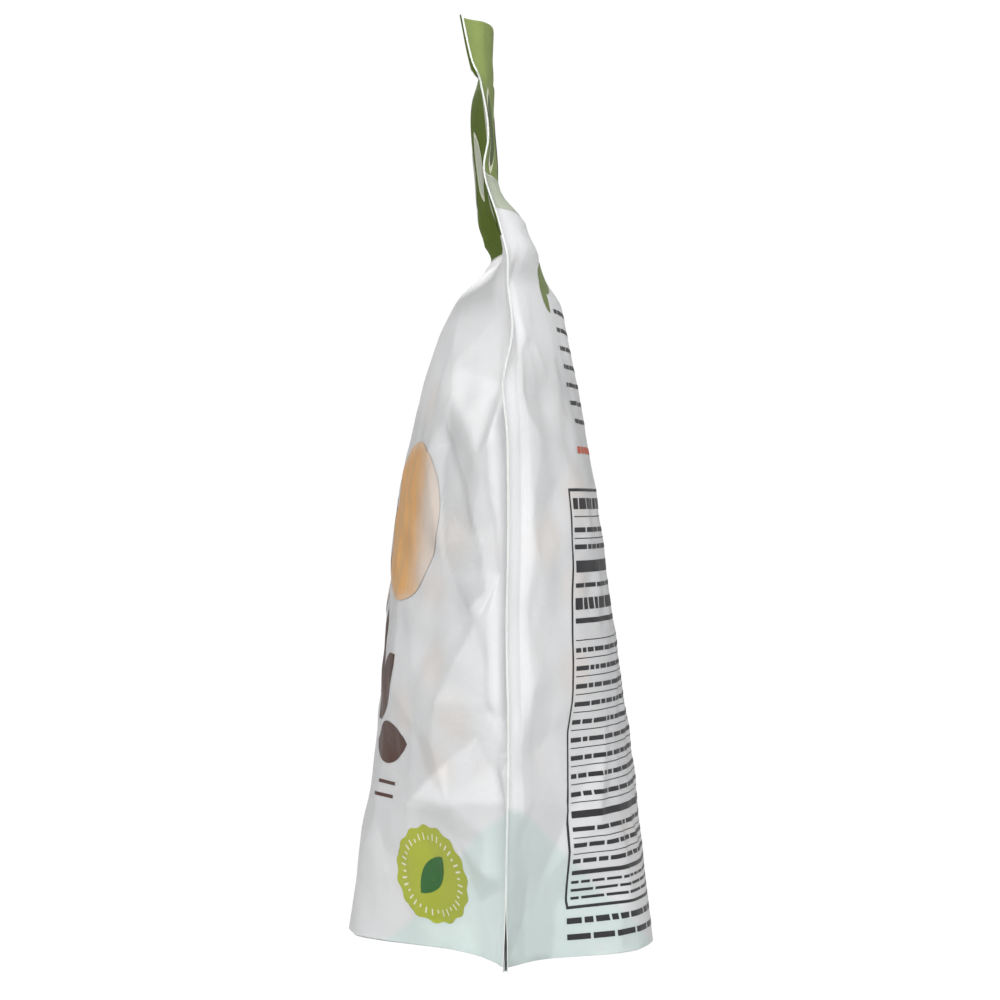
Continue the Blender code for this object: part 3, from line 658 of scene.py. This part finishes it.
def film_material(name, dark, light, roughness, specular=0.4, tint=None):
    """Matt-varnished printed film: a soft sheen, faint mottling and fine crinkle."""
    mat, tree, shader = principled(name, light, roughness)
    shader.inputs["Specular IOR Level"].default_value = specular
    mottled(tree, shader, dark, light, MOTTLE, tint)
    sheen = between(tree, noise(tree, SHEEN), roughness + SHEEN_LOW, roughness + SHEEN_HIGH)
    tree.links.new(sheen, shader.inputs["Roughness"])
    bumped(tree, shader, CRINKLE, CRINKLE_DEPTH)
    return mat


def make_camera():
    """A level camera at the photograph's distance."""
    data = bpy.data.cameras.new("camera")
    data.lens, data.sensor_width = CAMERA_LENS, CAMERA_SENSOR
    data.clip_start, data.clip_end = 0.01, 50.0
    camera = placed("camera", data)
    camera.location = CAMERA_PLACE
    camera.rotation_euler = (math.radians(90), 0.0, math.radians(90))
    bpy.context.scene.camera = camera


def make_light(name, place, size, watts):
    """A soft box that looks at the pouch."""
    data = bpy.data.lights.new(name, "AREA")
    data.shape = "RECTANGLE"
    data.size, data.size_y = size
    data.energy = watts
    light = placed(name, data)
    light.location = place
    light.rotation_euler = (Vector(LIGHT_AIM) - Vector(place)).to_track_quat("-Z", "Y").to_euler()


def seen_as(tree, value, seen):
    """A value for all rays, but another one where the picture looks straight at it."""
    ray = tree.nodes.new("ShaderNodeLightPath")
    blend = tree.nodes.new("ShaderNodeMix")
    blend.inputs["B"].default_value = seen
    tree.links.new(ray.outputs["Is Camera Ray"], blend.inputs["Factor"])
    tree.links.new(value, blend.inputs["A"])
    return blend.outputs["Result"]


def make_stage():
    """A pale floor, a bright even surround and soft boxes above and to the sides."""
    scene = bpy.context.scene
    scene.view_settings.view_transform = "Standard"
    world = bpy.data.worlds.new("surround")
    world.use_nodes = True
    tree = world.node_tree
    place = tree.nodes.new("ShaderNodeTexCoord")
    split = tree.nodes.new("ShaderNodeSeparateXYZ")
    tree.links.new(place.outputs["Generated"], split.inputs["Vector"])
    sky = between(tree, split.outputs["Z"], SKY_LOW, SKY_HIGH)
    background = tree.nodes["Background"]
    tree.links.new(seen_as(tree, sky, BACKDROP), background.inputs["Strength"])
    background.inputs["Color"].default_value = (1.0, 1.0, 1.0, 1.0)
    scene.world = world
    mesh = bpy.data.meshes.new("floor")
    corners = [(a * FLOOR_HALF, b * FLOOR_HALF, 0) for a, b in ((-1, -1), (1, -1), (1, 1), (-1, 1))]
    mesh.from_pydata(corners, [], [(0, 1, 2, 3)])
    floor = placed("floor", mesh)
    mat, tree, shader = principled("pale_floor", (FLOOR_GREY,) * 3, 0.9)
    glow = tree.nodes.new("ShaderNodeEmission")
    glow.inputs["Strength"].default_value = BACKDROP
    blend = tree.nodes.new("ShaderNodeMixShader")
    tree.links.new(tree.nodes.new("ShaderNodeLightPath").outputs["Is Camera Ray"], blend.inputs["Fac"])
    tree.links.new(shader.outputs["BSDF"], blend.inputs[1])
    tree.links.new(glow.outputs["Emission"], blend.inputs[2])
    tree.links.new(blend.outputs["Shader"], tree.nodes["Material Output"].inputs["Surface"])
    mesh.materials.append(mat)
    for light in LIGHTS:
        make_light(*light)


def within(corners, s, t):
    """1 inside a convex outline and 0 outside, with a soft edge: corners in millimetres, counterclockwise."""
    share = np.ones_like(s)
    for (a, b), (c, d) in zip(corners, corners[1:] + corners[:1]):
        off = ((c - a) * (t * 1000 - b) - (d - b) * (s * 1000 - a)) / math.hypot(c - a, d - b)
        share = np.minimum(share, smoothstep(off / PATCH_EDGE + 0.5))
    return share


def tint_of(side, grid, s, t, kernels):
    """The white film's paint, as a colour to multiply by: base fold, seals, kernels close by, and patches; the
    seals' whitening is partly painted light, and the near foot and the patches are painted highlight and
    painted shade.
    """
    seal_line = GUSSET_LEAF * ramp(np.abs(s), BASE_START, FLAT_HALF - BASE_START) ** BASE_CURVE
    low = smoothstep((seal_line - t) / BASE_EDGE)[..., None]
    inside = FLAT_HALF - np.abs(s)
    # Whiter seals, film beside them and film over the fill: no kernels behind, and partly painted light
    sealed = 1.0 - ramp(inside, SEAL, SEAL_EDGE)
    neck = NECK_SHARE[side] * ramp(t, *NECK_RAMP[side])
    # Painted shade: the front's slope under the zip is left without the whitening
    if side == FRONT:
        neck = neck * (1.0 - ramp(t, *BARE_UP) * (1.0 - ramp(s, *BARE_ACROSS)))
    loose = np.minimum(LOOSE_SEAM * (1.0 - ramp(inside, SEAL, LOOSE_SEAM_FADE)) + neck, 1.0)
    white = 1.0 + (SEAL_WHITE_AND_PAINTED_LIGHT - 1.0) * np.maximum(sealed, loose)[..., None] * np.ones(3)
    white = white * (1 - low) + np.array(MINT) * low * (1.0 + MINT_LOOSE * loose[..., None])
    points = grid.reshape(-1, 3)
    near = np.full(len(points), 1.0)
    for centre in kernels:
        close = np.flatnonzero(np.abs(points[:, 2] - centre[2]) < WARM_BAND)
        near[close] = np.minimum(near[close], np.linalg.norm(points[close] - centre, axis=1))
    warm = (smoothstep((WARM_NEAR - near) / WARM_FADE).reshape(s.shape) * (1.0 - low[..., 0]))[..., None]
    white = white * (1 - WARM_SHARE * warm) + white * np.array(PEACH) * WARM_SHARE * warm
    if side == FRONT:
        # Painted light: the front's near foot is made lighter
        painted_light_and_shade = 1.0 + FOOT_PAINTED_LIGHT * ramp(s, *FOOT_ACROSS) * (1.0 - smoothstep(t / FOOT_UP))
        # Painted highlights on flat facets, and painted shade along the long fold
        for corners, lighter in PAINTED_HIGHLIGHT_AND_SHADE_PATCHES:
            painted_light_and_shade = painted_light_and_shade * (1.0 + lighter * within(corners, s, t))
        white = white * painted_light_and_shade[..., None]
    return white


def make_panels(s, t, film, kernels):
    """The two printed panels, which stand for the plain ones."""
    inside, _, _ = principled("film_inside", INSIDE_WHITE, 0.3, coat=0.2)
    edge, _, _ = principled("film_edge", EDGE_WHITE, 0.5)
    # One header green, darker on the front as painted shade and lighter on the back as painted light
    inks = {FRONT: film_material("header_green_painted_shade", FRONT_GREEN_SHADED_DARK, FRONT_GREEN_SHADED_LIGHT, 0.5, 0.05),
            BACK: film_material("header_green_painted_light", BACK_GREEN_LIT_DARK, BACK_GREEN_LIT_LIGHT, 0.5, 0.08)}
    plain = film_material("white_film", FILM_DARK, FILM_LIGHT, 0.34, 0.5, "tint")
    middle_t = (t[:-1, :-1] + t[1:, 1:]) / 2
    for side, node, slot in ((FRONT, "front_panel", "front_film"), (BACK, "back_panel", "back_film")):
        marks = np.where(middle_t > HEADER_INK[side], INKED, PLAIN)
        piece = shell("printed_" + node, film[side], -side, marks, tint_of(side, film[side], s, t, kernels))
        for mat in (plain, inks[side], inside, edge):
            piece.data.materials.append(mat)
        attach(piece, "root")
        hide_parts(node)


def base_grid(s, film):
    """The folded base sheet's points, from the front panel's bottom edge to the back one's."""
    low, high = film[FRONT][0], film[BACK][0]
    keep = np.abs(s[0]) < FLAT_HALF - GUSSET_SHORT
    low, high, flat = low[keep] + (0, GUSSET_INSET, 0), high[keep] - (0, GUSSET_INSET, 0), s[0][keep]
    half = np.minimum((high[:, 1] - low[:, 1]) / 2, GUSSET_LEAF)
    rise = np.sqrt(GUSSET_LEAF ** 2 - half ** 2) * ramp(np.abs(flat), GUSSET_FLAT, GUSSET_RISE)
    grid = []
    for v in np.linspace(-1, 1, GUSSET_ROWS):
        share = (v + 1) / 2
        point = low * (1 - share) + high * share
        point[:, 2] = FILM / 2 + rise * (1 - abs(v) ** GUSSET_ARCH)
        point[:, 1] += fin_lean(flat, point[:, 2])
        grid.append(point)
    return np.array(grid)


def make_gusset(grid):
    """The folded sheet under the pouch, sealed to both panels at its sides."""
    piece = shell("folded_base_sheet", grid, -1)
    piece.data.materials.append(film_material("base_film", GUSSET_DARK, GUSSET_LIGHT, 0.42))
    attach(piece, "root")
    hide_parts("bottom_gusset")


def kernel_centres(film, base):
    """Centres of close layers of kernels that clear the film, the base sheet and the top of the fill."""
    walls = [film[side][::2, ::2].reshape(-1, 3) for side in (FRONT, BACK)]
    outward = [(-side * normals(film[side]))[::2, ::2].reshape(-1, 3) for side in (FRONT, BACK)]
    walls.append(base.reshape(-1, 3))
    outward.append(np.tile((0.0, 0.0, -1.0), (len(walls[2]), 1)))
    reach = KERNEL_RADIUS + KERNEL_CLEAR
    layers = np.arange(reach, FILL_TOP, KERNEL_STEP * math.sqrt(2 / 3))
    rows = np.arange(-KERNEL_ROWS, KERNEL_ROWS + 1) * KERNEL_STEP * math.sqrt(3) / 2
    across = np.arange(-KERNEL_COLUMNS, KERNEL_COLUMNS + 1) * KERNEL_STEP
    centres = []
    for k, z in enumerate(layers):
        for m, y in enumerate(rows):
            for x in across + KERNEL_STEP / 2 * ((k + m) % 2):
                centres.append((x, y + (k % 2) * KERNEL_STEP / math.sqrt(12), z))
    centres = np.array(centres)
    kept = np.ones(len(centres), bool)
    for wall, normal in zip(walls, outward):
        way = centres[:, None] - wall[None]
        far = np.linalg.norm(way, axis=-1)
        near = far.argmin(axis=1)
        here = np.arange(len(centres))
        kept &= (far[here, near] > reach) & ((way[here, near] * normal[near]).sum(axis=1) < 0)
    return centres[kept]


def make_kernels(centres):
    """The kernels that fill the pouch: balls drawn out to a tip, each turned its own way."""
    rng = np.random.default_rng(SEED)
    ball = bmesh.new()
    bmesh.ops.create_icosphere(ball, subdivisions=2, radius=KERNEL_RADIUS)
    points = np.array([v.co[:] for v in ball.verts])
    faces = np.array([[v.index for v in f.verts] for f in ball.faces])
    ball.free()
    points[:, 2] *= KERNEL_FLAT + KERNEL_TIP * smoothstep(points[:, 2] / KERNEL_RADIUS) ** 2
    points[:, 0] *= KERNEL_WIDTH
    verts, tris = [], []
    for centre in centres:
        turn, _ = np.linalg.qr(rng.normal(size=(3, 3)))
        if np.linalg.det(turn) < 0:
            turn[:, 0] *= -1
        tris.append(faces + len(verts) * len(points))
        verts.append(points @ turn.T + centre + rng.uniform(-KERNEL_JITTER, KERNEL_JITTER, 3))
    mesh = bpy.data.meshes.new("kernel_fill")
    mesh.from_pydata(np.concatenate(verts).tolist(), [], np.concatenate(tris).tolist())
    mesh.shade_smooth()
    piece = placed("kernel_fill", mesh)
    mat, tree, shader = principled("kernel_skin", SKIN, 0.55)
    mottled(tree, shader, SKIN_DARK, SKIN_LIGHT, SKIN_MOTTLE)
    bumped(tree, shader, SKIN_GRAIN, SKIN_DEPTH)
    mesh.materials.append(mat)
    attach(piece, "root")
    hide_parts("hazelnuts")


def finish_zip():
    """The zip strips keep the solids' shapes and get a cloudy plastic."""
    mat, tree, shader = principled("zip_plastic", ZIP_CLOUDY, 0.28, coat=0.2)
    mottled(tree, shader, ZIP_DARK, ZIP_LIGHT, ZIP_MOTTLE)
    for name in ("zip_rib_strip", "zip_groove_strip"):
        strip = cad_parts[name]
        strip.data.materials.clear()
        strip.data.materials.append(mat)


def ring(s, t, radius, count, waves=0, depth=0.0, squash=1.0):
    """A round outline on the flat cut, with a waved edge if asked."""
    turn = np.linspace(0, 2 * math.pi, count, endpoint=False)
    far = radius + depth * np.cos(waves * turn)
    return [(s + a, t + b) for a, b in zip(far * np.cos(turn), squash * far * np.sin(turn))]


def bar(s, t, length, height):
    """A rectangle on the flat cut with its left end at s and its middle at t."""
    low, high = t - height / 2, t + height / 2
    return [(s, low), (s + length, low), (s + length, high), (s, high)]


def leaf(s, t, length, width, lean, count=14):
    """A pointed leaf on the flat cut from its stalk end, leaning by an angle in degrees."""
    turn = math.radians(lean)
    run = np.linspace(0.0, 1.0, count)
    half = width / 2 * np.sin(math.pi * run) ** 0.8
    line = list(zip(run * length, half)) + list(zip(run[-2:0:-1] * length, -half[-2:0:-1]))
    along_it, across_it = math.cos(turn), math.sin(turn)
    return [(s + a * along_it - b * across_it, t + a * across_it + b * along_it) for a, b in line]


def on_film(grid, lift, s, t):
    """Points that stand off the film at flat places s, t."""
    col = np.clip((s + FLAT_HALF) / (2 * FLAT_HALF) * (grid.shape[1] - 1), 0, grid.shape[1] - 1.0001)
    row = np.clip((t - FOOT) / (HEIGHT - FOOT) * (grid.shape[0] - 1), 0, grid.shape[0] - 1.0001)
    i, j = row.astype(int), col.astype(int)
    u, v = (col - j)[:, None], (row - i)[:, None]
    high = grid + lift
    below = high[i, j] * (1 - u) + high[i, j + 1] * u
    above = high[i + 1, j] * (1 - u) + high[i + 1, j + 1] * u
    return below * (1 - v) + above * v


def make_print(name, side, grid, outlines, mat, layer=1, fade=None):
    """One ink on one panel: flat outlines in millimetres, cut along the film's grid and laid on the film."""
    bm = bmesh.new()
    for outline in outlines:
        bm.faces.new([bm.verts.new((a / 1000, b / 1000, 0.0)) for a, b in outline])
    bmesh.ops.triangulate(bm, faces=bm.faces[:])
    flat = np.array([v.co[:] for v in bm.verts])
    low, high = flat.min(axis=0), flat.max(axis=0)
    for axis, step, start in ((0, CELL, -FLAT_HALF), (1, (HEIGHT - FOOT) / (grid.shape[0] - 1), FOOT)):
        first, last = math.ceil((low[axis] - start) / step), math.floor((high[axis] - start) / step)
        for k in range(first, last + 1):
            place, normal = [0.0, 0.0, 0.0], [0.0, 0.0, 0.0]
            place[axis], normal[axis] = start + k * step, 1.0
            parts = bm.verts[:] + bm.edges[:] + bm.faces[:]
            bmesh.ops.bisect_plane(bm, geom=parts, dist=1e-7, plane_co=place, plane_no=normal)
    flat = np.array([v.co[:2] for v in bm.verts])
    lift = normals(grid) * (-side * (FILM / 2 + INK_LIFT * layer))
    for v, point in zip(bm.verts, on_film(grid, lift, flat[:, 0], flat[:, 1])):
        v.co = point
    if side == BACK:
        bmesh.ops.reverse_faces(bm, faces=bm.faces[:])
    mesh = bpy.data.meshes.new(name)
    bm.to_mesh(mesh)
    bm.free()
    if fade is not None:
        shade = mesh.color_attributes.new("tint", "FLOAT_COLOR", "POINT")
        colour = np.concatenate((fade(flat[:, 0] * 1000, flat[:, 1] * 1000), np.ones((len(flat), 1))), axis=1)
        shade.data.foreach_set("color", colour.reshape(-1))
    mesh.shade_smooth()
    mesh.materials.append(mat)
    piece = placed(name, mesh)
    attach(piece, "root")


def nut_fade(place):
    """A printed nut's colour by flat place: orange-brown and streaked, paler towards its near side."""
    def colour(s, t):
        a, b = (s - place[0]) / place[2], (t - place[1]) / place[3]
        streak = (0.5 + 0.5 * np.sin(17.0 * a + 3.0 * np.sin(2.6 * b + 1.1 * a) + 0.9 * b))[:, None]
        fine = (0.5 + 0.5 * np.sin(61.0 * a + 5.0 * np.sin(3.1 * b)))[:, None]
        edge = np.maximum(ramp(a, 0.12, 0.70), 0.45 * ramp(np.hypot(a, b), 0.85, 0.15))[:, None]
        body = np.array(NUT_BROWN) * (1 - 0.26 * streak - 0.08 * fine) + np.array(NUT_STREAK) * streak
        return body * (1 - edge) + np.array(NUT_PALE) * edge
    return colour


def ink(name, colour, roughness=0.36):
    """A printed colour under the film's matt varnish."""
    dark = tuple(INK_DARKER * part for part in colour)
    return film_material(name, dark, colour, roughness)


def badge_ticks(s, t, radius):
    """Short strokes round the inside of the badge's edge, every third one shorter."""
    ticks = []
    for k in range(TICKS):
        turn = 2 * math.pi * k / TICKS
        a, b = math.cos(turn), BADGE_SQUASH * math.sin(turn)
        inner, outer = radius * TICK_IN, radius * (TICK_OUT if k % 3 else TICK_SHORT)
        corners = ((inner, TICK_HALF), (inner, -TICK_HALF), (outer, -TICK_HALF), (outer, TICK_HALF))
        ticks.append([(s + a * far - b * w, t + b * far + a * w) for far, w in corners])
    return ticks


def make_front_prints(front, lime, green, brown, pale):
    """The front's nuts, brown leaves, rules and badge."""
    nut = film_material("ink_nut", (0.92, 0.92, 0.92), (1.0, 1.0, 1.0), 0.36, tint="tint")
    for k, place in enumerate((NUT,) + MORE_NUTS):
        s, t, wide, tall = place
        outline = [ring(s, t, wide, 72, squash=tall / wide)]
        make_print(f"print_nut_{k}", FRONT, front, outline, nut, layer=3 - k, fade=nut_fade(place))
    make_print("print_leaves", FRONT, front, [leaf(*place) for place in BROWN_LEAVES], brown)
    make_print("print_rules", FRONT, front, [bar(*place) for place in RULES], brown)
    s, t, radius = BADGE
    badge = ring(s, t, radius, 180, BADGE_WAVES, BADGE_WAVE, BADGE_SQUASH)
    make_print("print_badge", FRONT, front, [badge], lime)
    a, b, *form = BADGE_LEAF
    make_print("print_badge_leaf", FRONT, front, [leaf(s + a, t + b, *form)], green, layer=2)
    make_print("print_badge_ticks", FRONT, front, badge_ticks(s, t, radius), pale, layer=2)


def make_back_prints(back, dark, red):
    """The back's table, lines and mark."""
    rng = np.random.default_rng(SEED)
    words = []
    for t, tall in TABLE_ROWS:
        words += word_bars(rng, 60.0, -24.0, t, tall)
    lines = [(t, TABLE_RULE) for t in TABLE_RULES] + list(TABLE_BARS)
    table = frame_bars(*TABLE_FRAME) + [bar(TABLE_LEFT, t, TABLE_WIDE, tall) for t, tall in lines]
    make_print("print_table", BACK, back, table, dark)
    make_print("print_rows", BACK, back, words, dark)
    make_print("print_lines", BACK, back, sum((word_bars(rng, *line) for line in LINES), []), dark)
    make_print("print_foot", BACK, back, sum((word_bars(rng, *line) for line in FOOT_LINES), []), dark)
    make_print("print_red_line", BACK, back, word_bars(rng, *RED_LINE), red)
    olive = ink("ink_olive", (0.19, 0.25, 0.06))
    make_print("print_green_leaf", BACK, back, [leaf(*place) for place in GREEN_LEAVES], olive)


def make_prints(film):
    """Generic prints in the pack's colours: nuts, leaves, rules, a badge, and a table of plain bars."""
    front, back = film[FRONT], film[BACK]
    dark, brown = ink("ink_black", (0.030, 0.030, 0.033)), ink("ink_brown", (0.075, 0.025, 0.012))
    lime, green = ink("ink_lime", (0.42, 0.47, 0.045)), ink("ink_green", (0.030, 0.135, 0.030))
    pale, red = ink("ink_pale", (0.80, 0.82, 0.60)), ink("ink_red", (0.62, 0.10, 0.03))
    make_front_prints(front, lime, green, brown, pale)
    make_back_prints(back, dark, red)
    deep = ink("ink_deep_green", (0.085, 0.125, 0.030), 0.45)
    soft = ink("ink_soft_green", (0.55, 0.60, 0.47), 0.45)
    make_print("print_band", BACK, back, [bar(*BAND)], soft)
    for panel, side, pick, name in ((back, BACK, deep, "back"), (front, FRONT, soft, "front")):
        leaves, edging = [], []
        for a, b, lean in HEADER_LEAVES[side]:
            turn = math.radians(lean)
            leaves.append(leaf(a, b, *HEADER_LEAF, lean))
            a, b = a - EDGING_BACK * math.cos(turn), b - EDGING_BACK * math.sin(turn)
            edging.append(leaf(a, b, *HEADER_EDGING, lean))
        make_print("print_header_leaves_" + name, side, panel, leaves, pick, layer=3)
        make_print("print_header_edging_" + name, side, panel, edging, pale, layer=2)


def frame_bars(left, right, low, high, thick):
    """The four sides of a box on the flat cut."""
    width, height = right - left, high - low
    return [bar(left, low, width, thick), bar(left, high, width, thick),
            [(left, low), (left + thick, low), (left + thick, high), (left, high)],
            [(right - thick, low), (right, low), (right, high), (right - thick, high)]]


def word_bars(rng, start, end, t, tall):
    """A row of plain bars of uneven length, from start down to end."""
    bars = []
    while start > end:
        length = min(rng.uniform(WORD_SHORT, WORD_LONG), start - end)
        bars.append(bar(start - length, t, length, tall))
        start -= length + WORD_SPACE
    return bars


make_camera()
make_stage()
flat_s, flat_t, film = settled_film()
for side in (FRONT, BACK):
    film[side] = lumped(side, ridged(side, film[side], flat_s, flat_t), flat_s, flat_t)
base = base_grid(flat_s, film)
kernels = kernel_centres(film, base)
make_panels(flat_s, flat_t, film, kernels)
make_gusset(base)
make_kernels(kernels)
finish_zip()
make_prints(film)
